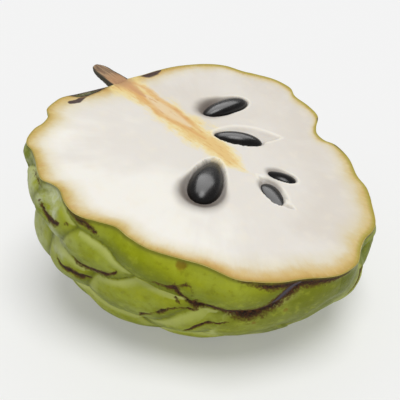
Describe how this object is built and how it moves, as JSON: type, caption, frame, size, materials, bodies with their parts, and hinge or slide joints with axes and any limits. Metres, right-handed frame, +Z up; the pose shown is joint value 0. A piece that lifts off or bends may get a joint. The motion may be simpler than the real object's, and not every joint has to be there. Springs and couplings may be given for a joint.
{
  "type": "half custard apple",
  "caption": "Custard apple cut in half lengthwise: scaly green skin, cream flesh, glossy dark seeds in hollows and a cut woody stalk, lying on its round back.",
  "frame": {"origin": "under the middle of the half's box, on the surface that it rests on", "axes": "+Z up; the cut face looks up and leans 14 degrees towards +X and -Y; the core runs from its stalk at -X +Y to its tip at +X -Y"},
  "size_m": [0.0995, 0.1078, 0.0597],
  "materials": {
    "fruit": "waxy green scaly skin with dark brown seams, and moist cream-white flesh with a tan edge and core on the cut face",
    "seed": "smooth glossy black seed coat",
    "stalk": "dry brown stalk, grey bark outside and tan wood where it was cut"
  },
  "bodies": {
    "root": {"fruit_half": "fruit", "seed_large": "seed", "seed_upper": "seed", "seed_core": "seed", "seed_small": "seed", "seed_tip": "seed", "stalk": "stalk"}
  },
  "joints": []
}
